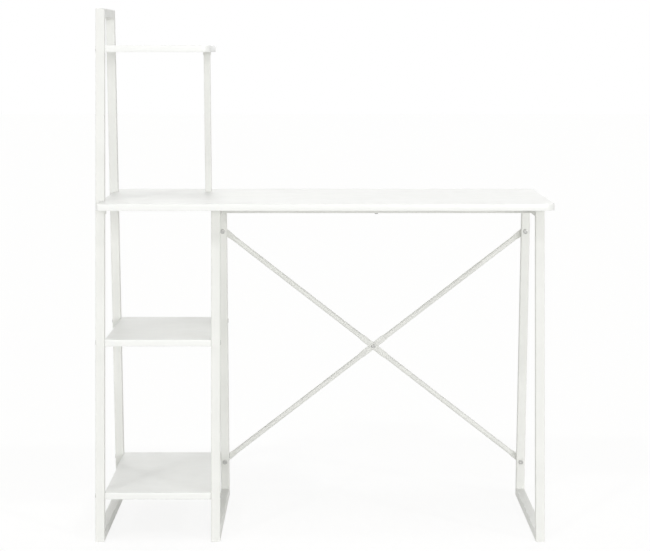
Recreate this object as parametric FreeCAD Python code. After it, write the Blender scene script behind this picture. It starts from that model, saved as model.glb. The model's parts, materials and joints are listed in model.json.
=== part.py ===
import FreeCAD, Part
import math
import os

# Computer desk in millimetres. Z is up, Y runs from the front to the back, and X from left to right.
# The origin is on the floor, in the middle of the desk's plan. Three trapezoid side frames of square
# tube stand across the desk. The tall left one also carries the shelf tower.

Vector = FreeCAD.Vector

# Overall sizes
overall_height = 1175.0
frame_to_board_end = 1010.0
foot_depth = 500.0
left_frame_top_depth = 242.0

# Frame tube
tube = 20.0
tube_wall = 1.2
tube_corner_radius = 2.0
overrun = 5.0
fit_clearance = 0.15

# Desktop
desktop_height = 750.0
desktop_depth = 500.0
desktop_inset_left = 10.0
desktop_left_corner_radius = 6.0
desktop_right_corner_radius = 20.0
notch_clearance = 1.0
board_thickness = 15.0
band_thickness = 1.0

# Places of the frames across the desk
middle_frame_from_left = 256.0
right_frame_inset = 15.0

# Shelves
lower_shelf_top = 108.0
middle_shelf_top = 445.0
top_shelf_drop = 81.5
top_shelf_to_middle_frame = 1.0
shelf_setback = 2.0
shelf_corner_radius = 2.0
top_shelf_corner_radius = 18.0

# Rails under the desktop
rail_distance = 90.0
rail_plug_length = 22.0

# Thin post between the desktop and the top shelf
shelf_post_tube = 15.0
shelf_post_wall = 1.0
shelf_post_corner_radius = 1.5
shelf_post_to_middle_frame = 15.0
shelf_post_setback = 4.0
collar_height = 7.0
collar_wall = 1.2
post_plug_length = 17.0
post_bolt_bite = 14.0

# Brackets on the left posts
bracket_thickness = 2.0
bracket_reach = 32.0
bracket_drop = 14.0

# Brace
brace_rod_diameter = 12.0
brace_flat_width = 15.0
brace_flat_thickness = 2.5
brace_tab_length = 21.0
brace_taper_length = 14.0
brace_middle_flat_length = 60.0
brace_upper_height = 657.0
brace_lower_height = 89.0

# Fasteners
bolt_diameter = 6.0
bolt_head_diameter = 11.0
flat_head_height = 1.2
dome_head_height = 3.4
sunk_head_depth = 3.0
bolt_socket_width = 4.0
bolt_socket_depth = 2.0
bolt_bite = 20.0
insert_diameter = 9.0
insert_length = 24.0
end_nut_width = 10.0
end_nut_height = 4.0
end_bolt_past_nut = 1.0
centre_bolt_diameter = 5.0
centre_bolt_head_diameter = 10.0
centre_bolt_head_height = 3.0
centre_nut_width = 8.0
centre_nut_height = 4.0
centre_bolt_past_nut = 2.0
screw_diameter = 4.0
screw_head_diameter = 8.0
screw_head_height = 2.6
screw_socket_width = 2.5
screw_socket_depth = 1.4
screw_bite = 11.0

# Slope of the posts, shared by the three frames
lean = (foot_depth - left_frame_top_depth) / 2 / overall_height
slant = math.hypot(1, lean)
lean_angle = math.degrees(math.atan(lean))

# The bolt heads on the left posts count in the overall width
overall_width = frame_to_board_end + flat_head_height

# Left faces of the frames
left_frame_x = -overall_width / 2 + flat_head_height
middle_frame_x = left_frame_x + middle_frame_from_left
right_frame_x = overall_width / 2 - right_frame_inset - tube

top_shelf_top = overall_height - top_shelf_drop
desktop_underside = desktop_height - board_thickness
bay_left = left_frame_x + tube
bay_right = middle_frame_x

FRONT = -1
REAR = 1
LEFT = -1
RIGHT = 1
EIGHTH_TURN = 45


def half_depth(z):
    """Half the outer depth of a side frame at a height."""
    return foot_depth / 2 - lean * z


def frame_corner(side, height, at_top, inset):
    """Corner of a side frame's outline, moved inwards by an inset, as (y, z)."""
    z = height - inset if at_top else inset
    return side * (half_depth(z) - inset * slant), z


def post_centre(side, z):
    """Y of a post's centre line at a height."""
    return side * (half_depth(z) - tube / 2 * slant)


def prism(outline, x, width):
    """Solid between two planes across X, from an outline of (y, z) points."""
    points = [Vector(x, y, z) for y, z in outline]
    face = Part.Face(Part.makePolygon(points + points[:1]))
    return face.extrude(Vector(width, 0, 0))


def round_long_edges(shape, radius):
    """Rounds the four longest edges of a bar."""
    edges = sorted(shape.Edges, key=lambda edge: edge.Length)[-4:]
    return shape.makeFillet(radius, edges)


def mitred_bar(x, height, start, end):
    """Hollow bar between two corners of a side frame, mitred at both ends."""
    def outline(outer, inner):
        return [
            frame_corner(start[0], height, start[1], outer),
            frame_corner(end[0], height, end[1], outer),
            frame_corner(end[0], height, end[1], inner),
            frame_corner(start[0], height, start[1], inner),
        ]

    body = round_long_edges(prism(outline(0, tube), x, tube), tube_corner_radius)
    bore = prism(outline(tube_wall, tube - tube_wall), x + tube_wall, tube - 2 * tube_wall)
    bore = round_long_edges(bore, tube_corner_radius - tube_wall)
    return body.cut(bore)


def side_frame(x, height):
    """The four tubes of a side frame."""
    return {
        "front_post": mitred_bar(x, height, (FRONT, False), (FRONT, True)),
        "rear_post": mitred_bar(x, height, (REAR, False), (REAR, True)),
        "top_bar": mitred_bar(x, height, (FRONT, True), (REAR, True)),
        "foot_bar": mitred_bar(x, height, (FRONT, False), (REAR, False)),
    }


def rod(diameter, length, start, direction):
    """Plain round rod from a start point along a direction."""
    return Part.makeCylinder(diameter / 2, length, start, direction)


def cross_hole(diameter, x, width, y, z):
    """Cutter for a hole through a tube or board along X."""
    start = Vector(x - overrun, y, z)
    return rod(diameter, width + 2 * overrun, start, Vector(1, 0, 0))


def upright_hole(diameter, x, y, bottom, top):
    """Cutter for a hole along Z."""
    start = Vector(x, y, bottom - overrun)
    return rod(diameter, top - bottom + 2 * overrun, start, Vector(0, 0, 1))


def hexagon(width, depth, top):
    """Hexagonal prism whose upper face is at a height, from its width across flats."""
    corner = width / math.sqrt(3)
    points = []
    for step in range(6):
        turn = math.radians(60 * step)
        points.append(Vector(corner * math.cos(turn), corner * math.sin(turn), top - depth))
    face = Part.Face(Part.makePolygon(points + points[:1]))
    return face.extrude(Vector(0, 0, depth))


def headed_bolt(shank, head, length, point, direction):
    """Round-headed bolt with a hexagon socket. Its head sits on point and faces along direction."""
    head_diameter, head_height, socket_width, socket_depth = head
    top = Part.makeCylinder(head_diameter / 2, head_height)
    rim = [edge for edge in top.Edges if edge.Closed and edge.CenterOfMass.z > head_height / 2]
    top = top.makeFillet(head_height / 2, rim)
    top = top.cut(hexagon(socket_width, socket_depth, head_height))
    body = Part.makeCylinder(shank / 2, length, Vector(0, 0, -length))
    bolt = top.fuse(body).removeSplitter()
    turn = FreeCAD.Rotation(Vector(0, 0, 1), direction)
    bolt.Placement = FreeCAD.Placement(point, turn)
    return bolt


flat_head = (bolt_head_diameter, flat_head_height, bolt_socket_width, bolt_socket_depth)
dome_head = (bolt_head_diameter, dome_head_height, bolt_socket_width, bolt_socket_depth)
centre_bolt_head = (
    centre_bolt_head_diameter,
    centre_bolt_head_height,
    bolt_socket_width,
    bolt_socket_depth,
)
screw_head = (screw_head_diameter, screw_head_height, screw_socket_width, screw_socket_depth)


def sleeve(outer, bore, length, start, direction):
    """Round sleeve with a bore, from a start point along a direction."""
    return rod(outer, length, start, direction).cut(rod(bore, length, start, direction))


def upright_edges(slab, thickness, middle, side):
    """Upright edges of a slab to one side of its middle."""
    return [
        edge for edge in slab.Edges
        if edge.BoundBox.ZLength > thickness / 2 and side * (edge.CenterOfMass.x - middle) > 0
    ]


def rounded_slab(x_range, y_range, top, thickness, left_radius, right_radius):
    """Flat board with its upper face at a height and rounded corners in plan."""
    width = x_range[1] - x_range[0]
    depth = y_range[1] - y_range[0]
    corner = Vector(x_range[0], y_range[0], top - thickness)
    slab = Part.makeBox(width, depth, thickness, corner)
    middle = sum(x_range) / 2
    slab = slab.makeFillet(left_radius, upright_edges(slab, thickness, middle, LEFT))
    return slab.makeFillet(right_radius, upright_edges(slab, thickness, middle, RIGHT))


def banded_board(x_range, y_range, top, left_radius, right_radius):
    """Board core and the edge band round it."""
    inner_x = (x_range[0] + band_thickness, x_range[1] - band_thickness)
    inner_y = (y_range[0] + band_thickness, y_range[1] - band_thickness)
    inner_left = left_radius - band_thickness
    inner_right = right_radius - band_thickness
    core = rounded_slab(inner_x, inner_y, top, board_thickness, inner_left, inner_right)
    whole = rounded_slab(x_range, y_range, top, board_thickness, left_radius, right_radius)
    return core, whole.cut(core)


def shelf_depth(z):
    """Y range of a shelf, set back a little from the posts' faces."""
    reach = half_depth(z) - shelf_setback
    return -reach, reach


def shelf_bolt_height(top):
    """Height of the bolts in a shelf's ends."""
    return top - board_thickness / 2


def shelf_bolt_places():
    """Shelf bolts as (x of the post's outer face, direction of the head, y, z)."""
    places = []
    for top in (lower_shelf_top, middle_shelf_top, top_shelf_top):
        z = shelf_bolt_height(top)
        for side in (FRONT, REAR):
            places.append((left_frame_x, -1, post_centre(side, z), z))
            if top < desktop_height:
                places.append((middle_frame_x + tube, 1, post_centre(side, z), z))
    return places


def shelf_insert(x_face, head, y, z):
    """Start and direction of the insert in the shelf's end that a bolt screws into."""
    start = Vector(x_face - head * tube, y, z)
    return start, Vector(-head, 0, 0)


def drill_shelf(board, band, top):
    """Cuts the insert holes in the board and the bolt holes in its band."""
    for x_face, head, y, z in shelf_bolt_places():
        if z != shelf_bolt_height(top):
            continue
        start, direction = shelf_insert(x_face, head, y, z)
        mouth = start - direction * overrun
        board = board.cut(rod(insert_diameter, insert_length + overrun, mouth, direction))
        band = band.cut(rod(insert_diameter, insert_length + overrun, mouth, direction))
    return board, band


def rail_y(side):
    """Y of a rail's centre line."""
    return side * rail_distance / 2


rail_z = desktop_underside - tube / 2
frame_bolt_length = tube + bolt_bite


def rail_bolt_places():
    """Rail bolts as (x of the frame's outer face, direction of the head, y)."""
    faces = ((middle_frame_x, -1), (right_frame_x + tube, 1))
    return [(x, head, rail_y(side)) for x, head in faces for side in (FRONT, REAR)]


def under_desk_rail(side):
    """Square tube that runs from the middle frame's top bar to the right frame's."""
    start = middle_frame_x + tube
    length = right_frame_x - start
    y = rail_y(side)
    body = Part.makeBox(length, tube, tube, Vector(start, y - tube / 2, rail_z - tube / 2))
    body = round_long_edges(body, tube_corner_radius)
    inner = tube - 2 * tube_wall
    corner = Vector(start - overrun, y - inner / 2, rail_z - inner / 2)
    bore = Part.makeBox(length + 2 * overrun, inner, inner, corner)
    bore = round_long_edges(bore, tube_corner_radius - tube_wall)
    rail = body.cut(bore)
    x = start + length / 2
    return rail.cut(upright_hole(screw_hole, x, y, rail_z - tube / 2, rail_z + tube / 2))


def rail_plug(x_face, head, y):
    """Threaded square plug in a rail's end."""
    side = tube - 2 * tube_wall - 2 * fit_clearance
    mouth = x_face - head * tube
    corner_x = mouth if head < 0 else mouth - rail_plug_length
    corner = Vector(corner_x, y - side / 2, rail_z - side / 2)
    plug = Part.makeBox(rail_plug_length, side, side, corner)
    plug = round_long_edges(plug, tube_corner_radius - tube_wall)
    return plug.cut(cross_hole(bolt_hole, corner_x, rail_plug_length, y, rail_z))


bolt_hole = bolt_diameter + 2 * fit_clearance
screw_hole = screw_diameter + 2 * fit_clearance


def desktop_screw_places():
    """Desktop screws as (x, y, z of the face under the head)."""
    places = []
    for x in (middle_frame_x + tube / 2, right_frame_x + tube / 2):
        for side in (FRONT, REAR):
            places.append((x, 2 * rail_y(side), desktop_underside - tube))
    rail_middle = (middle_frame_x + tube + right_frame_x) / 2
    for side in (FRONT, REAR):
        places.append((rail_middle, rail_y(side), desktop_underside - tube))
        x = bay_left + bracket_reach - screw_head_diameter
        places.append((x, post_centre(side, desktop_underside), desktop_underside - bracket_thickness))
    return places


def desktop_screw(x, y, z):
    """Screw that goes up into the desktop from under what carries it."""
    length = desktop_underside - z + screw_bite
    return headed_bolt(screw_diameter, screw_head, length, Vector(x, y, z), Vector(0, 0, -1))


def desk_bracket(side):
    """Angle on a left post's inner face, with its shelf under the desktop."""
    y = post_centre(side, desktop_underside)
    corner = Vector(bay_left, y - tube / 2, desktop_underside - bracket_thickness)
    ledge = Part.makeBox(bracket_reach, tube, bracket_thickness, corner)
    corner = Vector(bay_left, y - tube / 2, desktop_underside - bracket_drop)
    leg = Part.makeBox(bracket_thickness, tube, bracket_drop, corner)
    bracket = ledge.fuse(leg).removeSplitter()
    x = bay_left + bracket_reach - screw_head_diameter
    return bracket.cut(upright_hole(screw_hole, x, y, desktop_underside - bracket_thickness, desktop_underside))


def post_notch(side):
    """Cutter for the notch that lets a left post pass the desktop."""
    near = half_depth(desktop_height) - tube * slant - notch_clearance
    far = half_depth(desktop_underside) + notch_clearance
    width = tube + notch_clearance + overrun
    y = near if side > 0 else -far
    corner = Vector(left_frame_x - overrun, y, desktop_underside - overrun)
    return Part.makeBox(width, far - near, board_thickness + 2 * overrun, corner)


shelf_post_x = middle_frame_x - shelf_post_to_middle_frame - shelf_post_tube / 2


def shelf_post_centre(z):
    """Y of the thin post's centre line at a height."""
    return half_depth(z) - (shelf_post_setback + shelf_post_tube / 2) * slant


def leaning_bar(size, bottom, top, radius):
    """Square bar with level ends on the thin post's centre line."""
    low = shelf_post_centre(bottom)
    high = shelf_post_centre(top)
    half = size / 2 * slant
    outline = [(low - half, bottom), (low + half, bottom), (high + half, top), (high - half, top)]
    bar = prism(outline, shelf_post_x - size / 2, size)
    edges = [edge for edge in bar.Edges if edge.BoundBox.ZLength > (top - bottom) / 2]
    return bar.makeFillet(radius, edges)


shelf_post_bottom = desktop_height
shelf_post_top = top_shelf_top - board_thickness


def shelf_post():
    """Thin square tube between the desktop and the top shelf."""
    body = leaning_bar(shelf_post_tube, shelf_post_bottom, shelf_post_top, shelf_post_corner_radius)
    inner = shelf_post_tube - 2 * shelf_post_wall
    bore_radius = shelf_post_corner_radius - shelf_post_wall
    bore = leaning_bar(inner, shelf_post_bottom - overrun, shelf_post_top + overrun, bore_radius)
    return body.cut(bore)


def shelf_post_collar():
    """Square collar round the thin post's upper end, against the top shelf."""
    size = shelf_post_tube + 2 * collar_wall + 2 * fit_clearance
    bottom = shelf_post_top - collar_height
    body = leaning_bar(size, bottom, shelf_post_top, shelf_post_corner_radius + collar_wall)
    inner = shelf_post_tube + 2 * fit_clearance
    bore = leaning_bar(inner, bottom - overrun, shelf_post_top + overrun, shelf_post_corner_radius)
    return body.cut(bore)


def shelf_post_plug(bottom, top):
    """Threaded plug in an end of the thin post."""
    size = shelf_post_tube - 2 * shelf_post_wall - 2 * fit_clearance
    plug = leaning_bar(size, bottom, top, shelf_post_corner_radius - shelf_post_wall)
    y = shelf_post_centre((bottom + top) / 2)
    return plug.cut(upright_hole(bolt_hole, shelf_post_x, y, bottom, top))


foot_plug_range = (shelf_post_bottom, shelf_post_bottom + post_plug_length)
head_plug_range = (shelf_post_top - post_plug_length, shelf_post_top)


def plug_y(plug_range):
    """Y of the bolt in a plug of the thin post."""
    return shelf_post_centre(sum(plug_range) / 2)


def foot_bolt():
    """Bolt that goes up through the desktop into the thin post's foot plug."""
    length = board_thickness + post_bolt_bite
    point = Vector(shelf_post_x, plug_y(foot_plug_range), desktop_underside)
    return headed_bolt(bolt_diameter, flat_head, length, point, Vector(0, 0, -1))


def sunk_cone(radius, tip_radius):
    """Cone of a countersunk head, with its wide end in the top shelf's upper face."""
    bottom = Vector(shelf_post_x, plug_y(head_plug_range), top_shelf_top - sunk_head_depth)
    return Part.makeCone(tip_radius, radius, sunk_head_depth, bottom, Vector(0, 0, 1))


def head_bolt():
    """Countersunk bolt that goes down through the top shelf into the thin post's head plug."""
    length = board_thickness + post_bolt_bite
    bottom = Vector(shelf_post_x, plug_y(head_plug_range), top_shelf_top - length)
    shank = rod(bolt_diameter, length - sunk_head_depth, bottom, Vector(0, 0, 1))
    bolt = sunk_cone(bolt_head_diameter / 2, bolt_diameter / 2).fuse(shank).removeSplitter()
    socket = hexagon(bolt_socket_width, bolt_socket_depth, top_shelf_top)
    socket.translate(Vector(shelf_post_x, plug_y(head_plug_range), 0))
    return bolt.cut(socket)


def desktop():
    """Desktop core and edge band, notched round the left posts and drilled."""
    left = left_frame_x + desktop_inset_left
    right = overall_width / 2
    reach = desktop_depth / 2
    x_range, y_range = (left, right), (-reach, reach)
    corner_radii = desktop_left_corner_radius, desktop_right_corner_radius
    board, band = banded_board(x_range, y_range, desktop_height, *corner_radii)
    for side in (FRONT, REAR):
        board = board.cut(post_notch(side))
        band = band.cut(post_notch(side))
    for x, y, z in desktop_screw_places():
        start = Vector(x, y, desktop_underside - overrun)
        board = board.cut(rod(screw_hole, overrun + screw_bite, start, Vector(0, 0, 1)))
    y = plug_y(foot_plug_range)
    board = board.cut(upright_hole(bolt_hole, shelf_post_x, y, desktop_underside, desktop_height))
    return board, band


def bay_shelf(top):
    """Shelf between the left and middle frames."""
    radius = shelf_corner_radius
    board, band = banded_board((bay_left, bay_right), shelf_depth(top), top, radius, radius)
    return drill_shelf(board, band, top)


def top_shelf():
    """Top shelf, held by the left posts and the thin post."""
    right = middle_frame_x - top_shelf_to_middle_frame
    x_range = (bay_left, right)
    y_range = shelf_depth(top_shelf_top)
    board, band = banded_board(x_range, y_range, top_shelf_top, shelf_corner_radius, top_shelf_corner_radius)
    board, band = drill_shelf(board, band, top_shelf_top)
    y = plug_y(head_plug_range)
    board = board.cut(upright_hole(bolt_hole, shelf_post_x, y, shelf_post_top, top_shelf_top))
    board = board.cut(sunk_cone(bolt_head_diameter / 2 + fit_clearance, bolt_hole / 2))
    return board, band


# Plane on the rear faces of the rear posts, which the brace bars lie against. Local X is across, local
# Y runs up the slope and local Z points through the posts towards the front.
brace_plane = FreeCAD.Placement(
    Vector(0, half_depth(0), 0),
    FreeCAD.Rotation(Vector(1, 0, 0), 2 * EIGHTH_TURN + lean_angle),
)
brace_left_x = middle_frame_x + tube / 2
brace_right_x = right_frame_x + tube / 2


def on_brace_plane(x, z, stand_off):
    """Point on the brace plane at a height, moved forward by a distance."""
    return brace_plane.multVec(Vector(x, z * slant, stand_off))


def rectangle_section(station, low, high):
    """Flattened section of a brace bar across its length."""
    half = brace_flat_width / 2
    corners = ((-half, high), (half, high), (half, low), (-half, low))
    points = [Vector(station, y, z) for y, z in corners]
    return Part.makePolygon(points + points[:1])


def round_section(station):
    """Round section of a brace bar, as four arcs."""
    radius = brace_rod_diameter / 2
    centre = -brace_flat_thickness / 2

    def at(angle):
        turn = math.radians(angle)
        return Vector(station, radius * math.cos(turn), centre + radius * math.sin(turn))

    arcs = []
    for quarter in range(4):
        start = 3 * EIGHTH_TURN - 2 * EIGHTH_TURN * quarter
        arcs.append(Part.Arc(at(start), at(start - EIGHTH_TURN), at(start - 2 * EIGHTH_TURN)).toShape())
    return Part.Wire(arcs)


def flat(start, end, low, high):
    """Flattened stretch of a brace bar."""
    corner = Vector(start, -brace_flat_width / 2, low)
    return Part.makeBox(end - start, brace_flat_width, high - low, corner)


def brace_bar(start, end, layer):
    """Round bar, flattened at its ends and where the two bars cross."""
    run = math.hypot(end[0] - start[0], (end[1] - start[1]) * slant)
    low = -brace_flat_thickness
    high = 0
    middle_low = low + layer * brace_flat_thickness / 2
    middle_high = middle_low + brace_flat_thickness
    middle_start = (run - brace_middle_flat_length) / 2
    middle_end = run - middle_start
    rod_start = brace_tab_length + brace_taper_length
    rod_end = run - rod_start
    disc = rod(brace_flat_width, high - low, Vector(0, 0, low), Vector(0, 0, 1))
    far_disc = rod(brace_flat_width, high - low, Vector(run, 0, low), Vector(0, 0, 1))

    def taper(first, second):
        return Part.makeLoft([first, second], True, True)

    def straight(first, last):
        centre = Vector(first, 0, -brace_flat_thickness / 2)
        return rod(brace_rod_diameter, last - first, centre, Vector(1, 0, 0))

    near_middle = middle_start - brace_taper_length
    past_middle = middle_end + brace_taper_length
    pieces = [
        flat(0, brace_tab_length, low, high),
        taper(rectangle_section(brace_tab_length, low, high), round_section(rod_start)),
        straight(rod_start, near_middle),
        taper(round_section(near_middle), rectangle_section(middle_start, middle_low, middle_high)),
        flat(middle_start, middle_end, middle_low, middle_high),
        taper(rectangle_section(middle_end, middle_low, middle_high), round_section(past_middle)),
        straight(past_middle, rod_end),
        taper(round_section(rod_end), rectangle_section(run - brace_tab_length, low, high)),
        flat(run - brace_tab_length, run, low, high),
        far_disc,
    ]
    bar = disc.fuse(pieces).removeSplitter()
    for station, hole in ((0, bolt_hole), (run, bolt_hole), (run / 2, centre_bolt_hole)):
        bar = bar.cut(upright_hole(hole, station, 0, -brace_rod_diameter, brace_rod_diameter))
    rise = (end[1] - start[1]) * slant
    angle = math.degrees(math.atan2(rise, end[0] - start[0]))
    local = FreeCAD.Placement(
        Vector(start[0], start[1] * slant, 0),
        FreeCAD.Rotation(Vector(0, 0, 1), angle),
    )
    bar.Placement = brace_plane.multiply(local)
    return bar


centre_bolt_hole = centre_bolt_diameter + 2 * fit_clearance
brace_normal = brace_plane.Rotation.multVec(Vector(0, 0, 1))
brace_middle_x = (brace_left_x + brace_right_x) / 2
brace_middle_height = (brace_upper_height + brace_lower_height) / 2


def brace_end_places():
    """Brace ends as (x, height)."""
    return [(x, z) for x in (brace_left_x, brace_right_x) for z in (brace_upper_height, brace_lower_height)]


def brace_end_bolt(x, z):
    """Bolt through a rear post and the brace tab behind it."""
    length = tube + brace_flat_thickness + end_nut_height + end_bolt_past_nut
    point = on_brace_plane(x, z, tube)
    return headed_bolt(bolt_diameter, dome_head, length, point, brace_normal)


def brace_nut(width, height, bore, x, z, back):
    """Nut whose front face bears on a brace bar, at a distance behind the brace plane."""
    nut = hexagon(width, height, 0)
    nut = nut.cut(Part.makeCylinder(bore / 2, height, Vector(0, 0, -height)))
    nut.Placement = FreeCAD.Placement(on_brace_plane(x, z, -back), brace_plane.Rotation)
    return nut


def brace_end_nut(x, z):
    """Nut on the end of a brace bolt."""
    return brace_nut(end_nut_width, end_nut_height, bolt_hole, x, z, brace_flat_thickness)


def brace_bolt_hole(x, z):
    """Cutter for the hole that a brace bolt passes in a rear post."""
    start = on_brace_plane(x, z, -overrun)
    return rod(bolt_hole, tube + 2 * overrun, start, brace_normal)


def brace_centre_bolt():
    """Bolt where the brace bars cross."""
    length = 2 * brace_flat_thickness + centre_nut_height + centre_bolt_past_nut
    point = on_brace_plane(brace_middle_x, brace_middle_height, brace_flat_thickness / 2)
    return headed_bolt(centre_bolt_diameter, centre_bolt_head, length, point, brace_normal)


def brace_centre_nut():
    """Nut behind the crossing of the brace bars."""
    back = brace_flat_thickness * 3 / 2
    x = brace_middle_x
    return brace_nut(centre_nut_width, centre_nut_height, centre_bolt_hole, x, brace_middle_height, back)


def drill_frames(frames):
    """Cuts every bolt and screw hole in the frame tubes."""
    def cut(name, cutter):
        frames[name] = frames[name].cut(cutter)

    names = {FRONT: "front_post", REAR: "rear_post"}
    for x_face, head, y, z in shelf_bolt_places():
        frame = "left_frame_" if head < 0 else "middle_frame_"
        x = left_frame_x if head < 0 else middle_frame_x
        side = FRONT if y < 0 else REAR
        cut(frame + names[side], cross_hole(bolt_hole, x, tube, y, z))
    for x_face, head, y in rail_bolt_places():
        frame = "middle_frame_" if head < 0 else "right_frame_"
        x = middle_frame_x if head < 0 else right_frame_x
        cut(frame + "top_bar", cross_hole(bolt_hole, x, tube, y, rail_z))
    for x, y, z in desktop_screw_places():
        for frame, left in (("middle_frame_", middle_frame_x), ("right_frame_", right_frame_x)):
            if left < x < left + tube:
                cut(frame + "top_bar", upright_hole(screw_hole, x, y, z, desktop_underside))
    for x, z in brace_end_places():
        frame = "middle_frame_" if x < brace_middle_x else "right_frame_"
        cut(frame + "rear_post", brace_bolt_hole(x, z))


def build():
    """Every sub-part by node name."""
    nodes = {}
    for frame, x, height in (
        ("left_frame_", left_frame_x, overall_height),
        ("middle_frame_", middle_frame_x, desktop_underside),
        ("right_frame_", right_frame_x, desktop_underside),
    ):
        for name, shape in side_frame(x, height).items():
            nodes[frame + name] = shape
    drill_frames(nodes)
    nodes["desktop"], nodes["desktop_edge_band"] = desktop()
    nodes["lower_shelf"], nodes["lower_shelf_edge_band"] = bay_shelf(lower_shelf_top)
    nodes["middle_shelf"], nodes["middle_shelf_edge_band"] = bay_shelf(middle_shelf_top)
    nodes["top_shelf"], nodes["top_shelf_edge_band"] = top_shelf()
    nodes["left_front_desk_bracket"] = desk_bracket(FRONT)
    nodes["left_rear_desk_bracket"] = desk_bracket(REAR)
    nodes["under_desk_front_rail"] = under_desk_rail(FRONT)
    nodes["under_desk_rear_rail"] = under_desk_rail(REAR)
    nodes["rail_end_plugs"] = Part.makeCompound([rail_plug(x, head, y) for x, head, y in rail_bolt_places()])
    nodes["rail_bolts"] = Part.makeCompound([
        headed_bolt(bolt_diameter, flat_head, frame_bolt_length, Vector(x, y, rail_z), Vector(head, 0, 0))
        for x, head, y in rail_bolt_places()
    ])
    nodes["shelf_post"] = shelf_post()
    nodes["shelf_post_collar"] = shelf_post_collar()
    nodes["shelf_post_foot_plug"] = shelf_post_plug(*foot_plug_range)
    nodes["shelf_post_head_plug"] = shelf_post_plug(*head_plug_range)
    nodes["shelf_post_bolts"] = Part.makeCompound([foot_bolt(), head_bolt()])
    upper_left = (brace_left_x, brace_upper_height)
    lower_left = (brace_left_x, brace_lower_height)
    upper_right = (brace_right_x, brace_upper_height)
    lower_right = (brace_right_x, brace_lower_height)
    nodes["brace_bar_rear"] = brace_bar(lower_left, upper_right, -1)
    nodes["brace_bar_front"] = brace_bar(upper_left, lower_right, 1)
    nodes["brace_centre_bolt"] = brace_centre_bolt()
    nodes["brace_centre_nut"] = brace_centre_nut()
    nodes["brace_end_bolts"] = Part.makeCompound([brace_end_bolt(x, z) for x, z in brace_end_places()])
    nodes["brace_end_nuts"] = Part.makeCompound([brace_end_nut(x, z) for x, z in brace_end_places()])
    nodes["shelf_bolts"] = Part.makeCompound([
        headed_bolt(bolt_diameter, flat_head, frame_bolt_length, Vector(x, y, z), Vector(head, 0, 0))
        for x, head, y, z in shelf_bolt_places()
    ])
    nodes["shelf_inserts"] = Part.makeCompound([
        sleeve(insert_diameter, bolt_hole, insert_length, *shelf_insert(x, head, y, z))
        for x, head, y, z in shelf_bolt_places()
    ])
    nodes["desktop_screws"] = Part.makeCompound([desktop_screw(*place) for place in desktop_screw_places()])
    return nodes


os.makedirs("parts", exist_ok=True)
for name, shape in build().items():
    shape.exportStep("parts/" + name + ".step")
    print(name, len(shape.Solids), "solids,", round(shape.Volume), "mm3, valid", shape.isValid())
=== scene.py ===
"""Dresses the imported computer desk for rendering.

The steel frames, rails, brackets, thin post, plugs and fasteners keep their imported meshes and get
their finishes. The boards are rebuilt with eased edges and a banded rim, the brace bars with smooth
tapers into their flats, and the welded corners get their beads. Lengths are in metres, in the
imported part's own frame.
"""

from __future__ import annotations

import json
import logging
import math
from contextlib import contextmanager
from dataclasses import dataclass, field, replace
from enum import Enum
from typing import Callable, Iterator, Sequence

import bmesh
import bpy
from mathutils import Matrix, Vector

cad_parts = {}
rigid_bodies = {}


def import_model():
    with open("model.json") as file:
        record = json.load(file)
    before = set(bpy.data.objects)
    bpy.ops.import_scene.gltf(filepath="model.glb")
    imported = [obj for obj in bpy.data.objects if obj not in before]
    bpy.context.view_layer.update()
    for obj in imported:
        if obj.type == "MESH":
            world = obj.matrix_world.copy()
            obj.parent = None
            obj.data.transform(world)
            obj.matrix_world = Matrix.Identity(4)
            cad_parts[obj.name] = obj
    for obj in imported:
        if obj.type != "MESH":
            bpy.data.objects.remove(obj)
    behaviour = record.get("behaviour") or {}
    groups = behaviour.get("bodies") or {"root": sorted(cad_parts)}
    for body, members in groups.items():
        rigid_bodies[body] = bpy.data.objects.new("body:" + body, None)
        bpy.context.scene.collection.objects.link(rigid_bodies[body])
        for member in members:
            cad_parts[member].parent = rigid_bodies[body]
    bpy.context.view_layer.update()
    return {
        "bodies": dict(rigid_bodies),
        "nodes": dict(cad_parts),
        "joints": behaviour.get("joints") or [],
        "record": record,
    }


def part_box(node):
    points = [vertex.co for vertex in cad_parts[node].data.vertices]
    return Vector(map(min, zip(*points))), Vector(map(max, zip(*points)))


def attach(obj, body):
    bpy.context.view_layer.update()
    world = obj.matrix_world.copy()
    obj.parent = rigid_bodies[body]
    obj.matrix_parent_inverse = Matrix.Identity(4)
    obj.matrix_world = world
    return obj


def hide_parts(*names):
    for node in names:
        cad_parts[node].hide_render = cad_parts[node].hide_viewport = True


LOG = logging.getLogger("computer_desk")
ROOT = "root"

# Points no further apart than this are taken as one.
NEAR = 1e-5

# How far a cutter goes past what it cuts.
OVERRUN = 0.004

# Faces that meet at a smaller angle are shaded as one surface.
SMOOTH_ANGLE = math.radians(32)

# The part of a noise pattern's range where most of its values lie.
NOISE_LOW = 0.3
NOISE_HIGH = 0.7

Triple = tuple[float, float, float]


class Side(Enum):
    """Front or rear of the desk, as a sign of Y."""

    FRONT = -1
    REAR = 1


class Level(Enum):
    """Lower or upper end of a side frame."""

    FOOT = 0
    TOP = 1


class Slot(Enum):
    """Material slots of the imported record."""

    FRAME_PAINT = "frame_paint"
    BOARD = "board"
    EDGE_BAND = "edge_band"
    PLUG_PLASTIC = "plug_plastic"
    FASTENER_STEEL = "fastener_steel"


def pick_only(piece: bpy.types.Object) -> None:
    """Makes a piece the only selected one and the active one.

    Args:
        piece: The object to select.
    """
    bpy.ops.object.select_all(action="DESELECT")
    piece.select_set(True)
    bpy.context.view_layer.objects.active = piece


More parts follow.
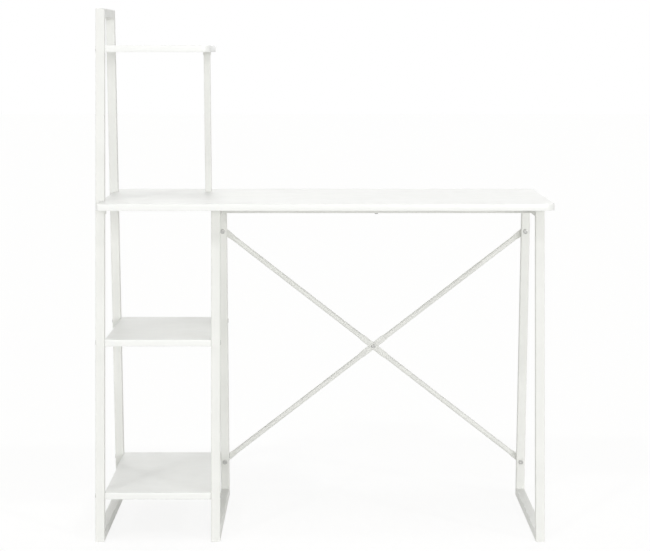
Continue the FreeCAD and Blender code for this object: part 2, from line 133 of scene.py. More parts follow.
@contextmanager
def editing(piece: bpy.types.Object, pick: str = "EDGE") -> Iterator[None]:
    """Opens a piece in edit mode with nothing selected.

    Args:
        piece: The mesh object to edit.
        pick: What is selected there: VERT, EDGE or FACE.
    """
    pick_only(piece)
    bpy.ops.object.mode_set(mode="EDIT")
    bpy.ops.mesh.select_mode(type=pick)
    bpy.ops.mesh.select_all(action="DESELECT")
    try:
        yield
    finally:
        bpy.ops.object.mode_set(mode="OBJECT")


def select_edges(piece: bpy.types.Object, test: Callable[[Vector, Vector], bool]) -> None:
    """Selects, in edit mode, the edges whose two ends pass a test.

    Args:
        piece: The mesh object in edit mode.
        test: Says whether an edge between two points is wanted.
    """
    mesh = bmesh.from_edit_mesh(piece.data)
    for edge in mesh.edges:
        edge.select_set(test(edge.verts[0].co, edge.verts[1].co))
    bmesh.update_edit_mesh(piece.data)


def select_points(piece: bpy.types.Object, test: Callable[[Vector], bool]) -> int:
    """Selects, in edit mode, the points that pass a test.

    Args:
        piece: The mesh object in edit mode.
        test: Says whether a point is wanted.

    Returns:
        The number of points selected.
    """
    mesh = bmesh.from_edit_mesh(piece.data)
    count = 0
    for point in mesh.verts:
        wanted = test(point.co)
        point.select_set(wanted)
        count += wanted
    mesh.select_flush_mode()
    bmesh.update_edit_mesh(piece.data)
    return count


def block(name: str, low: Vector, high: Vector) -> bpy.types.Object:
    """Adds a block between two corners, with its place in its mesh.

    Args:
        name: The object's name.
        low: Its lowest corner.
        high: Its highest corner.

    Returns:
        The new object.
    """
    bpy.ops.object.select_all(action="DESELECT")
    bpy.ops.mesh.primitive_cube_add(size=1, location=(low + high) / 2, scale=high - low)
    piece = bpy.context.object
    piece.name = name
    bpy.ops.object.transform_apply(location=True, rotation=True, scale=True)
    return piece


def cut_away(piece: bpy.types.Object, cutter: bpy.types.Object) -> None:
    """Cuts one piece by another and removes the cutter.

    Args:
        piece: The object that stays.
        cutter: The object that is taken out of it.
    """
    pick_only(piece)
    bpy.ops.object.modifier_add(type="BOOLEAN")
    cut = piece.modifiers[-1]
    cut.operation = "DIFFERENCE"
    cut.solver = "EXACT"
    cut.object = cutter
    bpy.ops.object.modifier_apply(modifier=cut.name)
    bpy.data.objects.remove(cutter)


def smooth(piece: bpy.types.Object) -> None:
    """Shades a piece smooth except at its sharp edges."""
    pick_only(piece)
    bpy.ops.object.shade_smooth_by_angle(angle=SMOOTH_ANGLE)


def set_in_place(piece: bpy.types.Object, place: Matrix) -> None:
    """Moves a piece and bakes its place into its mesh.

    Args:
        piece: The object to place.
        place: Where it goes.
    """
    pick_only(piece)
    piece.matrix_world = place
    bpy.ops.object.transform_apply(location=True, rotation=True, scale=True)


@dataclass(frozen=True)
class Section:
    """Cross-section of a drawn bar.

    Attributes:
        place: How far along the bar it is.
        half_width: Half its width.
        half_height: Half its height before it is pressed.
        press: Half the thickness that it is pressed to.
        offset: How far its middle is off the bar's axis.
    """

    place: float
    half_width: float
    half_height: float
    press: float
    offset: float = 0.0


def drawn_bar(name: str, sections: Sequence[Section], sides: int) -> bpy.types.Object:
    """Draws a bar along X from a ring that is extruded, resized and pressed at each section.

    Args:
        name: The object's name.
        sections: The cross-sections in order along X.
        sides: The number of points in the ring.

    Returns:
        The new object, with its axis along X from the origin.
    """
    bpy.ops.object.select_all(action="DESELECT")
    first = sections[0]
    bpy.ops.mesh.primitive_circle_add(
        vertices=sides,
        radius=1.0,
        fill_type="NGON",
        location=(first.place, 0, first.offset),
        rotation=(math.pi / 2, 0, math.pi / 2),
    )
    bar = bpy.context.object
    bar.name = name
    bpy.ops.object.transform_apply(location=True, rotation=True, scale=True)
    with editing(bar, "FACE"):
        bpy.ops.mesh.select_all(action="SELECT")
        bpy.ops.transform.resize(
            value=(1, first.half_width, first.half_height),
            center_override=(first.place, 0, first.offset),
        )
        for last, here in zip(sections, sections[1:]):
            step = (here.place - last.place, 0, here.offset - last.offset)
            bpy.ops.mesh.extrude_region_move(TRANSFORM_OT_translate={"value": step})
            bpy.ops.transform.resize(
                value=(1, here.half_width / last.half_width, here.half_height / last.half_height),
                center_override=(here.place, 0, here.offset),
            )
        bpy.ops.mesh.select_all(action="SELECT")
        bpy.ops.mesh.normals_make_consistent(inside=False)
    press_bar(bar, sections)
    smooth(bar)
    return bar


def press_bar(bar: bpy.types.Object, sections: Sequence[Section]) -> None:
    """Presses the upper and lower faces of a drawn bar flat where its sections ask for it.

    Args:
        bar: The bar along X.
        sections: The cross-sections that it was drawn from.
    """
    with editing(bar, "VERT"):
        for here in sections:
            for way in (-1, 1):
                face = here.offset + way * here.press
                middle = (here.place, 0, face)

                def proud(point: Vector) -> bool:
                    """Says whether a point of this section stands past the pressed face."""
                    return abs(point.x - here.place) < NEAR and way * (point.z - face) > NEAR

                if select_points(bar, proud):
                    bpy.ops.transform.resize(value=(1, 1, 0), center_override=middle)


@dataclass(frozen=True)
class Pattern:
    """A noise pattern in a material.

    Attributes:
        size: The size of its grains.
        detail: How many finer layers it has.
        stretch: The factor on each axis of the coordinates.
    """

    size: float
    detail: float = 2.0
    stretch: Triple = (1.0, 1.0, 1.0)


@dataclass(frozen=True)
class Relief:
    """A pattern that stands out from a surface.

    Attributes:
        pattern: The pattern of its height.
        depth: How deep it is.
        strength: How much of it shows.
    """

    pattern: Pattern
    depth: float
    strength: float


class NodeBench:
    """Adds and wires the shader nodes of one material."""

    def __init__(self, name: str) -> None:
        """Starts a material with a principled shader on object coordinates.

        Args:
            name: The material's name.
        """
        self.material = bpy.data.materials.new(name)
        self.material.use_nodes = True
        self.tree = self.material.node_tree
        self.shader = self.tree.nodes["Principled BSDF"]
        self.place = self.tree.nodes.new("ShaderNodeTexCoord").outputs["Object"]

    def link(self, source: bpy.types.NodeSocket, target: bpy.types.NodeSocket) -> None:
        """Wires an output to an input."""
        self.tree.links.new(source, target)

    def stretched(self, scale: Triple) -> bpy.types.NodeSocket:
        """Gives the object coordinates, stretched.

        Args:
            scale: The factor on each axis.

        Returns:
            The stretched coordinates.
        """
        mapping = self.tree.nodes.new("ShaderNodeMapping")
        mapping.inputs["Scale"].default_value = scale
        self.link(self.place, mapping.inputs["Vector"])
        return mapping.outputs["Vector"]

    def noise(self, pattern: Pattern) -> bpy.types.NodeSocket:
        """Makes a noise pattern.

        Args:
            pattern: The pattern to make.

        Returns:
            The pattern's values, from 0 to 1.
        """
        noise = self.tree.nodes.new("ShaderNodeTexNoise")
        noise.inputs["Scale"].default_value = 1 / pattern.size
        noise.inputs["Detail"].default_value = pattern.detail
        self.link(self.stretched(pattern.stretch), noise.inputs["Vector"])
        return noise.outputs["Fac"]

    def ranged(
        self, values: bpy.types.NodeSocket, low: float, high: float
    ) -> bpy.types.NodeSocket:
        """Spreads the middle of a pattern's values over a range.

        Args:
            values: The pattern's values, from 0 to 1.
            low: What its low parts become.
            high: What its high parts become.

        Returns:
            The spread values.
        """
        spread = self.tree.nodes.new("ShaderNodeMapRange")
        spread.inputs["From Min"].default_value = NOISE_LOW
        spread.inputs["From Max"].default_value = NOISE_HIGH
        spread.inputs["To Min"].default_value = low
        spread.inputs["To Max"].default_value = high
        self.link(values, spread.inputs["Value"])
        return spread.outputs["Result"]

    def tinted(
        self, values: bpy.types.NodeSocket, dark: Triple, light: Triple
    ) -> bpy.types.NodeSocket:
        """Mixes two colours by a pattern.

        Args:
            values: The pattern's values, from 0 to 1.
            dark: The colour of its low parts.
            light: The colour of its high parts.

        Returns:
            The mixed colour.
        """
        mix = self.tree.nodes.new("ShaderNodeMix")
        mix.data_type = "RGBA"
        mix.inputs["A"].default_value = (*dark, 1.0)
        mix.inputs["B"].default_value = (*light, 1.0)
        self.link(self.ranged(values, 0.0, 1.0), mix.inputs["Factor"])
        return mix.outputs["Result"]

    def raised(
        self, relief: Relief, under: bpy.types.NodeSocket | None
    ) -> bpy.types.NodeSocket:
        """Raises a relief.

        Args:
            relief: The relief to raise.
            under: The normal of the relief that it lies on, or none.

        Returns:
            The surface normal.
        """
        height = self.noise(relief.pattern)
        bump = self.tree.nodes.new("ShaderNodeBump")
        bump.inputs["Distance"].default_value = relief.depth
        bump.inputs["Strength"].default_value = relief.strength
        self.link(height, bump.inputs["Height"])
        if under is not None:
            self.link(under, bump.inputs["Normal"])
        return bump.outputs["Normal"]


@dataclass(frozen=True)
class Finish:
    """Surface of a material, with a clouded colour, a patchy gloss and reliefs.

    Attributes:
        name: The material's name.
        dark: Colour of the tint's low parts.
        light: Colour of the tint's high parts.
        tint: Pattern of the colour.
        gloss: Pattern of the roughness.
        smoothest: Roughness of the gloss's low parts.
        roughest: Roughness of the gloss's high parts.
        reliefs: The reliefs, each lying on the one before it.
        metallic: 1 for bare metal, 0 for everything else.
        specular: Strength of the reflection at the surface.
    """

    name: str
    dark: Triple
    light: Triple
    tint: Pattern
    gloss: Pattern
    smoothest: float
    roughest: float
    reliefs: tuple[Relief, ...]
    metallic: float = 0.0
    specular: float = 0.5

    def material(self) -> bpy.types.Material:
        """Builds the finish's material."""
        bench = NodeBench(self.name)
        inputs = bench.shader.inputs
        inputs["Metallic"].default_value = self.metallic
        inputs["Specular IOR Level"].default_value = self.specular
        tint = bench.noise(self.tint)
        bench.link(bench.tinted(tint, self.dark, self.light), inputs["Base Color"])
        gloss = bench.noise(self.gloss)
        bench.link(bench.ranged(gloss, self.smoothest, self.roughest), inputs["Roughness"])
        normal = None
        for relief in self.reliefs:
            normal = bench.raised(relief, normal)
        bench.link(normal, inputs["Normal"])
        return bench.material


@dataclass(frozen=True)
class PowderCoat(Finish):
    """Satin white powder coat with a fine orange peel."""

    name: str = "white_powder_coat"
    dark: Triple = (0.800, 0.804, 0.775)
    light: Triple = (0.830, 0.834, 0.806)
    tint: Pattern = Pattern(0.06, detail=3.0)
    gloss: Pattern = Pattern(0.011)
    smoothest: float = 0.46
    roughest: float = 0.56
    reliefs: tuple[Relief, ...] = (
        Relief(Pattern(0.0016, detail=1.0), depth=0.00006, strength=0.25),
        Relief(Pattern(0.00032, detail=1.0), depth=0.000015, strength=0.35),
    )
    specular: float = 0.15


@dataclass(frozen=True)
class Melamine(Finish):
    """Matt white melamine with a fine pearl texture and a faint wave."""

    name: str = "white_melamine"
    dark: Triple = (0.815, 0.820, 0.795)
    light: Triple = (0.840, 0.845, 0.820)
    tint: Pattern = Pattern(0.045, detail=4.0)
    gloss: Pattern = Pattern(0.02)
    smoothest: float = 0.44
    roughest: float = 0.54
    reliefs: tuple[Relief, ...] = (
        Relief(Pattern(0.0007), depth=0.00003, strength=0.55),
        Relief(Pattern(0.012, detail=1.0), depth=0.00006, strength=0.25),
    )


@dataclass(frozen=True)
class EdgeBandPlastic(Finish):
    """Smooth white edge band with faint streaks along it, a little glossier than the melamine."""

    name: str = "white_edge_band"
    dark: Triple = (0.850, 0.856, 0.835)
    light: Triple = (0.872, 0.878, 0.858)
    tint: Pattern = Pattern(0.004, stretch=(0.08, 0.08, 1.0))
    gloss: Pattern = Pattern(0.006)
    smoothest: float = 0.30
    roughest: float = 0.40
    reliefs: tuple[Relief, ...] = (
        Relief(Pattern(0.0006, 1.0, (0.05, 0.05, 1.0)), depth=0.00001, strength=0.4),
    )


@dataclass(frozen=True)
class PlugPlastic(Finish):
    """Moulded white plastic with faint flow marks."""

    name: str = "plug_plastic"
    dark: Triple = (0.70, 0.70, 0.68)
    light: Triple = (0.76, 0.76, 0.74)
    tint: Pattern = Pattern(0.01, detail=3.0)
    gloss: Pattern = Pattern(0.002)
    smoothest: float = 0.42
    roughest: float = 0.55
    reliefs: tuple[Relief, ...] = (Relief(Pattern(0.0008), depth=0.00003, strength=0.4),)


@dataclass(frozen=True)
class ZincPlate(Finish):
    """Zinc-plated steel with dull and bright patches."""

    name: str = "zinc_plate"
    dark: Triple = (0.42, 0.42, 0.41)
    light: Triple = (0.62, 0.62, 0.60)
    tint: Pattern = Pattern(0.003, detail=3.0)
    gloss: Pattern = Pattern(0.0012, detail=3.0)
    smoothest: float = 0.26
    roughest: float = 0.42
    reliefs: tuple[Relief, ...] = (Relief(Pattern(0.0004), depth=0.00001, strength=0.4),)
    metallic: float = 1.0


class Finishes:
    """The desk's finishes, by slot of the record."""

    def __init__(self) -> None:
        """Builds every finish's material."""
        self.materials: dict[Slot, bpy.types.Material] = {
            Slot.FRAME_PAINT: PowderCoat().material(),
            Slot.BOARD: Melamine().material(),
            Slot.EDGE_BAND: EdgeBandPlastic().material(),
            Slot.PLUG_PLASTIC: PlugPlastic().material(),
            Slot.FASTENER_STEEL: ZincPlate().material(),
        }

    def dress_frame(self, frame: dict) -> None:
        """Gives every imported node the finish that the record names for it.
        """
        for part in frame["record"]["subparts"]:
            node = frame["nodes"][part["node"]]
            material = self.materials[Slot(part["material_slot"])]
            for holder in node.material_slots:
                holder.material = material
            LOG.info("%s: %s", part["node"], material.name)

    def add(self, piece: bpy.types.Object, slot: Slot, *replaced: str) -> None:
        """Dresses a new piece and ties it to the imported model.

        Args:
            piece: The new object.
            slot: The record slot of its finish.
            replaced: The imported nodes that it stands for.
        """
        piece.data.materials.clear()
        piece.data.materials.append(self.materials[slot])
        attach(piece, ROOT)
        if replaced:
            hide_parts(*replaced)
        faces = len(piece.data.polygons)
        LOG.info("%s: %d faces, stands for %s", piece.name, faces, replaced or "nothing")


@dataclass
class SideFrame:
    """One trapezoid frame of welded square tube.

    Attributes:
        name: The start of its nodes' names.
        tube: Width of the tube.
        bead_radius: Radius of its weld beads.
        bead_ripples: Number of ripples in a bead.
        bead_hollow: Radius between the ripples, as a share of the bead's.
        bead_tip: Radius at a bead's two ends, as a share of the bead's.
        bead_sides: Points round a bead.
        left: X of its left face.
        height: Height of its top.
        foot_half_depth: Half its outer depth at the floor.
        lean: How far its posts lean inwards for a metre of height.
        slant: Length of a post for a metre of height.
    """

    name: str
    tube: float = 0.020
    bead_radius: float = 0.0021
    bead_ripples: int = 9
    bead_hollow: float = 0.86
    bead_tip: float = 0.55
    bead_sides: int = 12
    left: float = field(init=False)
    height: float = field(init=False)
    foot_half_depth: float = field(init=False)
    lean: float = field(init=False)
    slant: float = field(init=False)

    def __post_init__(self) -> None:
        """Reads the frame's outline from its packed bars."""
        foot_low, foot_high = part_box(self.name + "_foot_bar")
        _, top_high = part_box(self.name + "_top_bar")
        self.left = foot_low.x
        self.height = top_high.z
        self.foot_half_depth = foot_high.y
        self.lean = (foot_high.y - top_high.y) / self.height
        self.slant = math.hypot(1, self.lean)

    def half_depth(self, height: float) -> float:
        """Gives half the frame's outer depth at a height."""
        return self.foot_half_depth - self.lean * height

    def inner_corner(self, side: Side, level: Level) -> Vector:
        """Finds the middle of a corner inside the frame, where two tubes are welded.

        Args:
            side: Front or rear corner.
            level: Foot or top corner.

        Returns:
            The corner's middle.
        """
        height = self.tube if level is Level.FOOT else self.height - self.tube
        y = side.value * (self.half_depth(height) - self.tube * self.slant)
        return Vector((self.left + self.tube / 2, y, height))

    def bead_sections(self) -> list[Section]:
        """Gives the rippled outline of a weld bead along X."""
        half_length = self.tube / 2 - self.bead_radius
        last = 2 * self.bead_ripples
        step = 2 * half_length / last
        sections = []
        for count in range(last + 1):
            if count in (0, last):
                swell = self.bead_tip
            else:
                swell = 1.0 if count % 2 else self.bead_hollow
            radius = self.bead_radius * swell
            sections.append(Section(count * step - half_length, radius, radius, radius))
        return sections

    def weld(self, finishes: Finishes) -> None:
        """Lays a bead in each inner corner of the frame.

        Args:
            finishes: The desk's finishes.
        """
        bead = drawn_bar(self.name + "_weld_beads", self.bead_sections(), self.bead_sides)
        copies = []
        for side in Side:
            for level in Level:
                copy = bead.copy()
                copy.data = bead.data.copy()
                bpy.context.collection.objects.link(copy)
                set_in_place(copy, Matrix.Translation(self.inner_corner(side, level)))
                copies.append(copy)
        bpy.data.objects.remove(bead)
        pick_only(copies[0])
        for copy in copies:
            copy.select_set(True)
        bpy.ops.object.join()
        beads = copies[0]
        beads.name = self.name + "_weld_beads"
        finishes.add(beads, Slot.FRAME_PAINT)


@dataclass
class Board:
    """A melamine board with a plastic band round its rim.

    Attributes:
        node: The board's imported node.
        left_radius: Radius of its two left corners in plan.
        right_radius: Radius of its two right corners in plan.
        band: Thickness of the edge band.
        eased: Radius of the band's long edges.
        eased_steps: Facets in such an edge.
        seam: Chamfer of the board where it meets the band.
        corner_steps: Facets in a corner.
    """

    node: str
    left_radius: float = 0.002
    right_radius: float = 0.002
    band: float = 0.001
    eased: float = 0.0007
    eased_steps: int = 3
    seam: float = 0.00015
    corner_steps: int = 12

    def slab(self, name: str, inset: float, past: float) -> bpy.types.Object:
        """Makes the board's outline as a slab.

        Args:
            name: The object's name.
            inset: How far its rim lies inside the band's.
            past: How far it goes past the board's two faces.

        Returns:
            The slab.
        """
        low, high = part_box(self.node + "_edge_band")
        shift = Vector((inset, inset, -past))
        low = low + shift
        high = high - shift
        piece = block(name, low, high)
        middle = (low.x + high.x) / 2
        for way, radius in ((-1, self.left_radius), (1, self.right_radius)):

            def corner_edge(first: Vector, second: Vector) -> bool:
                """Says whether an edge is an upright one on this side."""
                upright = abs(first.x - second.x) < NEAR and abs(first.y - second.y) < NEAR
                return upright and way * (first.x - middle) > 0

            with editing(piece):
                select_edges(piece, corner_edge)
                bpy.ops.mesh.bevel(
                    offset=radius - inset, segments=self.corner_steps, affect="EDGES"
                )
        for cutter in self.cutters():
            cut_away(piece, cutter)
        return piece

    def cutters(self) -> list[bpy.types.Object]:
        """Gives the cutters of the board's openings, none on a plain board."""
        return []

    def ease(self, piece: bpy.types.Object, radius: float, steps: int) -> None:
        """Rounds the rim of the slab's upper and lower faces, or chamfers it in one step.

        Args:
            piece: The slab.
            radius: The radius of the rounding.
            steps: Facets in the rounding.
        """
        low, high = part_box(self.node + "_edge_band")

        def rim(first: Vector, second: Vector) -> bool:
            """Says whether an edge lies in the upper or the lower face."""
            level = abs(first.z - second.z) < NEAR
            return level and (abs(first.z - high.z) < NEAR or abs(first.z - low.z) < NEAR)

        with editing(piece):
            select_edges(piece, rim)
            bpy.ops.mesh.bevel(offset=radius, segments=steps, affect="EDGES")

    def build(self, finishes: Finishes) -> None:
        """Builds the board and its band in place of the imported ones.

        Args:
            finishes: The desk's finishes.
        """
        core = self.slab(self.node + "_melamine", inset=self.band, past=0.0)
        self.ease(core, self.seam, steps=1)
        smooth(core)
        finishes.add(core, Slot.BOARD, self.node)
        rim = self.slab(self.node + "_banding", inset=0.0, past=0.0)
        self.ease(rim, self.eased, self.eased_steps)
        cut_away(rim, self.slab("inside", inset=self.band, past=OVERRUN))
        smooth(rim)
        finishes.add(rim, Slot.EDGE_BAND, self.node + "_edge_band")


@dataclass
class Desktop(Board):
    """The desktop, notched round the left posts.

    Attributes:
        notch_room: Room between a post and its notch.
        outline: The left frame, whose posts pass the notches.
    """

    notch_room: float = 0.001
    outline: SideFrame | None = None

    def cutters(self) -> list[bpy.types.Object]:
        """Gives the cutters of the two notches."""
        low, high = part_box("desktop")
        frame = self.outline
        near = frame.half_depth(high.z) - frame.tube * frame.slant - self.notch_room
        far = frame.half_depth(low.z) + self.notch_room
        left = frame.left - OVERRUN
        right = frame.left + frame.tube + self.notch_room
        # The slab that hollows the band is itself taller than the board by OVERRUN at each face.
        bottom = low.z - 2 * OVERRUN
        top = high.z + 2 * OVERRUN
        cutters = []
        for side in Side:
            start, end = sorted((side.value * near, side.value * far))
            cutters.append(block("notch", Vector((left, start, bottom)), Vector((right, end, top))))
        return cutters


@dataclass
class Brace:
    """The crossed brace behind the knee space: two round rods pressed flat where they are bolted.

    Attributes:
        outline: A side frame, for the slope of the rear posts.
        upper_height: Height of the upper bolts.
        lower_height: Height of the lower bolts.
        radius: Radius of the round rod.
        flat_half_width: Half the width of a pressed flat.
        flat_half_thickness: Half the thickness of a pressed flat.
        end_flat: Length of the flat past an end bolt.
        middle_flat: Half the length of the flat at the crossing.
        taper: Length over which the rod turns flat.
        taper_steps: Sections in a taper.
        tip_turns: Degrees round a bar's rounded tip at which it has a section.
        sides: Points round the rod.
    """

    outline: SideFrame
    upper_height: float = 0.657
    lower_height: float = 0.089
    radius: float = 0.006
    flat_half_width: float = 0.0075
    flat_half_thickness: float = 0.00125
    end_flat: float = 0.021
    middle_flat: float = 0.030
    taper: float = 0.014
    taper_steps: int = 6
    tip_turns: tuple[float, ...] = (12, 30, 50, 70, 90)
    sides: int = 32

    def section(
        self, place: float, flatness: float, offset: float, narrowed: float = 1.0
    ) -> Section:
        """Gives a cross-section between round and flat.

        Args:
            place: How far along the bar it is.
            flatness: 0 for the round rod, 1 for the flat.
            offset: How far the flat's middle is off the axis.
            narrowed: A factor on its width, for the rounded ends.

        Returns:
            The cross-section.
        """
        # The change starts and ends gently.
        blend = flatness * flatness * (3 - 2 * flatness)
        width = self.radius + (self.flat_half_width - self.radius) * blend
        thickness = self.radius + (self.flat_half_thickness - self.radius) * blend
        # The ring is drawn up to twice as high as the flat, so that the press leaves plane faces.
        drawn = self.radius + (2 * self.flat_half_thickness - self.radius) * blend
        height = max(thickness, drawn)
        return Section(place, width * narrowed, height, thickness, offset * blend)

    def end_sections(self) -> list[Section]:
        """Gives the sections from the tip of a bar to its round rod."""
        sections = []
        for turn in self.tip_turns:
            place = -self.flat_half_width * math.cos(math.radians(turn))
            narrowed = math.sin(math.radians(turn))
            sections.append(self.section(place, 1.0, 0.0, narrowed))
        for step in range(self.taper_steps + 1):
            share = step / self.taper_steps
            sections.append(self.section(self.end_flat + share * self.taper, 1 - share, 0.0))
        return sections

    @staticmethod
    def mirrored(sections: Sequence[Section], run: float) -> list[Section]:
        """Gives the same sections from the other end of a bar, in order along it."""
        return [replace(part, place=run - part.place) for part in reversed(sections)]

    def sections(self, run: float, layer: float) -> list[Section]:
        """Gives a whole bar's sections.

        Args:
            run: Distance between its end bolts.
            layer: How far its middle flat stands off the axis.

        Returns:
            The sections in order.
        """
        middle = []
        for step in range(self.taper_steps + 1):
            share = step / self.taper_steps
            place = run / 2 - self.middle_flat - (1 - share) * self.taper
            middle.append(self.section(place, share, layer))
        first_half = self.end_sections() + middle
        return first_half + self.mirrored(first_half, run)

    def plane(self) -> Matrix:
        """Gives the plane of the rear posts' rear faces, with Z through the posts to the front."""
        lean_angle = math.atan(self.outline.lean)
        origin = Vector((0, self.outline.foot_half_depth, 0))
        return Matrix.Translation(origin) @ Matrix.Rotation(math.pi / 2 + lean_angle, 4, "X")

    def bar(self, name: str, start: Vector, end: Vector, layer: float) -> bpy.types.Object:
        """Makes one bar between two bolts.

        Args:
            name: The object's name.
            start: Its left bolt, as X and height.
            end: Its right bolt, as X and height.
            layer: How far its middle flat stands off the axis.

        Returns:
            The bar in its place.
        """
        slant = self.outline.slant
        across = end.x - start.x
        rise = (end.y - start.y) * slant
        piece = drawn_bar(name, self.sections(math.hypot(across, rise), layer), self.sides)
        local = Matrix.Translation((start.x, start.y * slant, -self.flat_half_thickness))
        turn = Matrix.Rotation(math.atan2(rise, across), 4, "Z")
        set_in_place(piece, self.plane() @ local @ turn)
        return piece

    def build(self, finishes: Finishes) -> None:
        """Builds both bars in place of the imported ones.

        Args:
            finishes: The desk's finishes.
        """
        low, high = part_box("middle_frame_foot_bar")
        left = (low.x + high.x) / 2
        low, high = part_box("right_frame_foot_bar")
        right = (low.x + high.x) / 2
        upper_left = Vector((left, self.upper_height))
        lower_left = Vector((left, self.lower_height))
        upper_right = Vector((right, self.upper_height))
        lower_right = Vector((right, self.lower_height))
        layer = self.flat_half_thickness
        front = self.bar("brace_tube_front", upper_left, lower_right, layer)
        finishes.add(front, Slot.FRAME_PAINT, "brace_bar_front")
        rear = self.bar("brace_tube_rear", lower_left, upper_right, -layer)
        finishes.add(rear, Slot.FRAME_PAINT, "brace_bar_rear")


@dataclass(frozen=True)
class Lamp:
    """A wide soft lamp, far off.

    Attributes:
        name: Its name.
        azimuth: Degrees to the right of the desk's front.
        elevation: Degrees above the floor.
        strength: Its strength.
        spread: Its width in degrees, as seen from the desk.
    """

    name: str
    azimuth: float
    elevation: float
    strength: float
    spread: float

    def hang(self) -> None:
        """Adds the lamp."""
        data = bpy.data.lights.new(self.name, "SUN")
        data.energy = self.strength
        data.angle = math.radians(self.spread)
        lamp = bpy.data.objects.new(self.name, data)
        lamp.rotation_euler = (math.radians(90 - self.elevation), 0, math.radians(self.azimuth))
        bpy.context.scene.collection.objects.link(lamp)


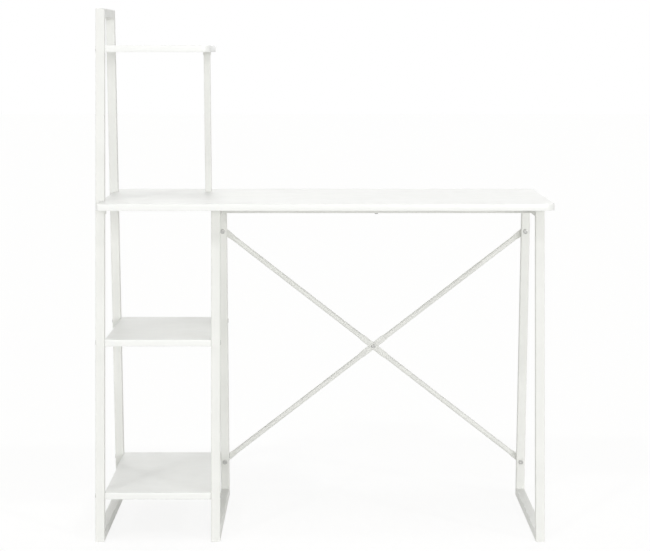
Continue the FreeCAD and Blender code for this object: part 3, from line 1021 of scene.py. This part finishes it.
@dataclass
class Studio:
    """White floor, soft lamps and the camera at the photograph's viewpoint.

    Attributes:
        lamps: The lamps.
        sky: Strength of the light from all round.
        floor_size: Length of the floor's sides.
        floor_colour: Colour of the floor.
        floor_drop: How far the floor lies below the desk's feet.
        floor_glow: Share of white that the floor shows of itself.
        floor_lift: What is added to it, so that the open floor is as white as the background.
        camera_place: Where the camera stands.
        camera_pitch: How far it looks down, in radians.
        camera_turn: How far it is turned to the left, in radians.
        lens: The camera's focal length in millimetres.
        sensor: Width of the camera's sensor in millimetres.
    """

    lamps: tuple[Lamp, ...] = (
        Lamp("front_left_lamp", -27.0, 41.0, 0.30, 3.5),
        Lamp("front_right_lamp", 43.0, 41.0, 0.30, 3.5),
        Lamp("low_front_lamp", 8.0, 3.0, 0.45, 12.0),
        Lamp("low_left_lamp", -20.0, 6.0, 0.23, 16.0),
        Lamp("low_right_lamp", 25.0, 6.0, 0.61, 16.0),
        Lamp("left_side_lamp", -75.0, 18.0, 0.30, 30.0),
        Lamp("rear_lamp", 175.0, 25.0, 0.59, 50.0),
        Lamp("high_front_lamp", 0.0, 70.0, 0.21, 14.0),
        Lamp("overhead_lamp", 0.0, 86.0, 0.31, 16.0),
    )
    sky: float = 0.37
    floor_size: float = 60.0
    floor_colour: Triple = (0.92, 0.92, 0.90)
    floor_drop: float = 0.0003
    floor_glow: float = 0.78
    floor_lift: float = 0.05
    camera_place: Triple = (-0.00292, -4.83807, 1.08906)
    camera_pitch: float = 0.10755
    camera_turn: float = -0.00148
    lens: float = 117.03
    sensor: float = 36.0

    def build(self) -> None:
        """Sets up the view, the light, the floor and the camera."""
        bpy.context.scene.view_settings.view_transform = "Standard"
        for lamp in self.lamps:
            lamp.hang()
        self.light_sky()
        self.lay_floor()
        self.set_camera()

    @staticmethod
    def seen_directly(tree: bpy.types.NodeTree) -> bpy.types.NodeSocket:
        """Tells rays that show a surface, also mirrored or through glass, from those that light.

        Args:
            tree: The node tree to add to.

        Returns:
            1 for rays that show the surface.
        """
        path = tree.nodes.new("ShaderNodeLightPath")
        seen = path.outputs["Is Camera Ray"]
        for ray in ("Is Glossy Ray", "Is Transmission Ray"):
            either = tree.nodes.new("ShaderNodeMath")
            either.operation = "MAXIMUM"
            tree.links.new(seen, either.inputs[0])
            tree.links.new(path.outputs[ray], either.inputs[1])
            seen = either.outputs[0]
        return seen

    def light_sky(self) -> None:
        """Lights the desk evenly from all round, before a white background."""
        world = bpy.data.worlds.new("studio")
        bpy.context.scene.world = world
        world.use_nodes = True
        tree = world.node_tree
        background = tree.nodes["Background"]
        background.inputs["Color"].default_value = (1.0, 1.0, 1.0, 1.0)
        strength = tree.nodes.new("ShaderNodeMapRange")
        strength.inputs["To Min"].default_value = self.sky
        strength.inputs["To Max"].default_value = 1.0
        tree.links.new(self.seen_directly(tree), strength.inputs["Value"])
        tree.links.new(strength.outputs["Result"], background.inputs["Strength"])

    def lay_floor(self) -> None:
        """Lays the white floor, which keeps the desk's shadow."""
        bpy.ops.object.select_all(action="DESELECT")
        bpy.ops.mesh.primitive_plane_add(size=self.floor_size, location=(0, 0, -self.floor_drop))
        floor = bpy.context.object
        floor.name = "floor"
        material = bpy.data.materials.new("white_floor")
        material.use_nodes = True
        tree = material.node_tree
        tree.nodes.clear()
        plain = tree.nodes.new("ShaderNodeBsdfDiffuse")
        plain.inputs["Color"].default_value = (*self.floor_colour, 1.0)
        faint = tree.nodes.new("ShaderNodeBsdfDiffuse")
        left_over = [(1.0 - self.floor_glow) * share for share in self.floor_colour]
        faint.inputs["Color"].default_value = (*left_over, 1.0)
        glow = tree.nodes.new("ShaderNodeEmission")
        glow.inputs["Strength"].default_value = self.floor_glow + self.floor_lift
        bright = tree.nodes.new("ShaderNodeAddShader")
        tree.links.new(faint.outputs[0], bright.inputs[0])
        tree.links.new(glow.outputs[0], bright.inputs[1])
        chosen = tree.nodes.new("ShaderNodeMixShader")
        tree.links.new(self.seen_directly(tree), chosen.inputs[0])
        tree.links.new(plain.outputs[0], chosen.inputs[1])
        tree.links.new(bright.outputs[0], chosen.inputs[2])
        output = tree.nodes.new("ShaderNodeOutputMaterial")
        tree.links.new(chosen.outputs[0], output.inputs["Surface"])
        floor.data.materials.append(material)

    def set_camera(self) -> None:
        """Adds the camera at the photograph's viewpoint."""
        data = bpy.data.cameras.new("camera")
        data.sensor_width = self.sensor
        data.lens = self.lens
        data.clip_end = 2 * self.floor_size
        camera = bpy.data.objects.new("camera", data)
        camera.location = self.camera_place
        camera.rotation_euler = (math.pi / 2 - self.camera_pitch, 0, self.camera_turn)
        bpy.context.scene.collection.objects.link(camera)
        bpy.context.scene.camera = camera


def main() -> None:
    """Builds and dresses the whole desk."""
    logging.basicConfig(level=logging.INFO, format="%(message)s")
    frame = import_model()
    finishes = Finishes()
    finishes.dress_frame(frame)
    side_frames = [SideFrame(name) for name in ("left_frame", "middle_frame", "right_frame")]
    for side_frame in side_frames:
        side_frame.weld(finishes)
    boards = [
        Desktop("desktop", left_radius=0.006, right_radius=0.020, outline=side_frames[0]),
        Board("lower_shelf"),
        Board("middle_shelf"),
        Board("top_shelf", right_radius=0.018),
    ]
    for board in boards:
        board.build(finishes)
    Brace(side_frames[0]).build(finishes)
    Studio().build()


if __name__ == "__main__":
    main()
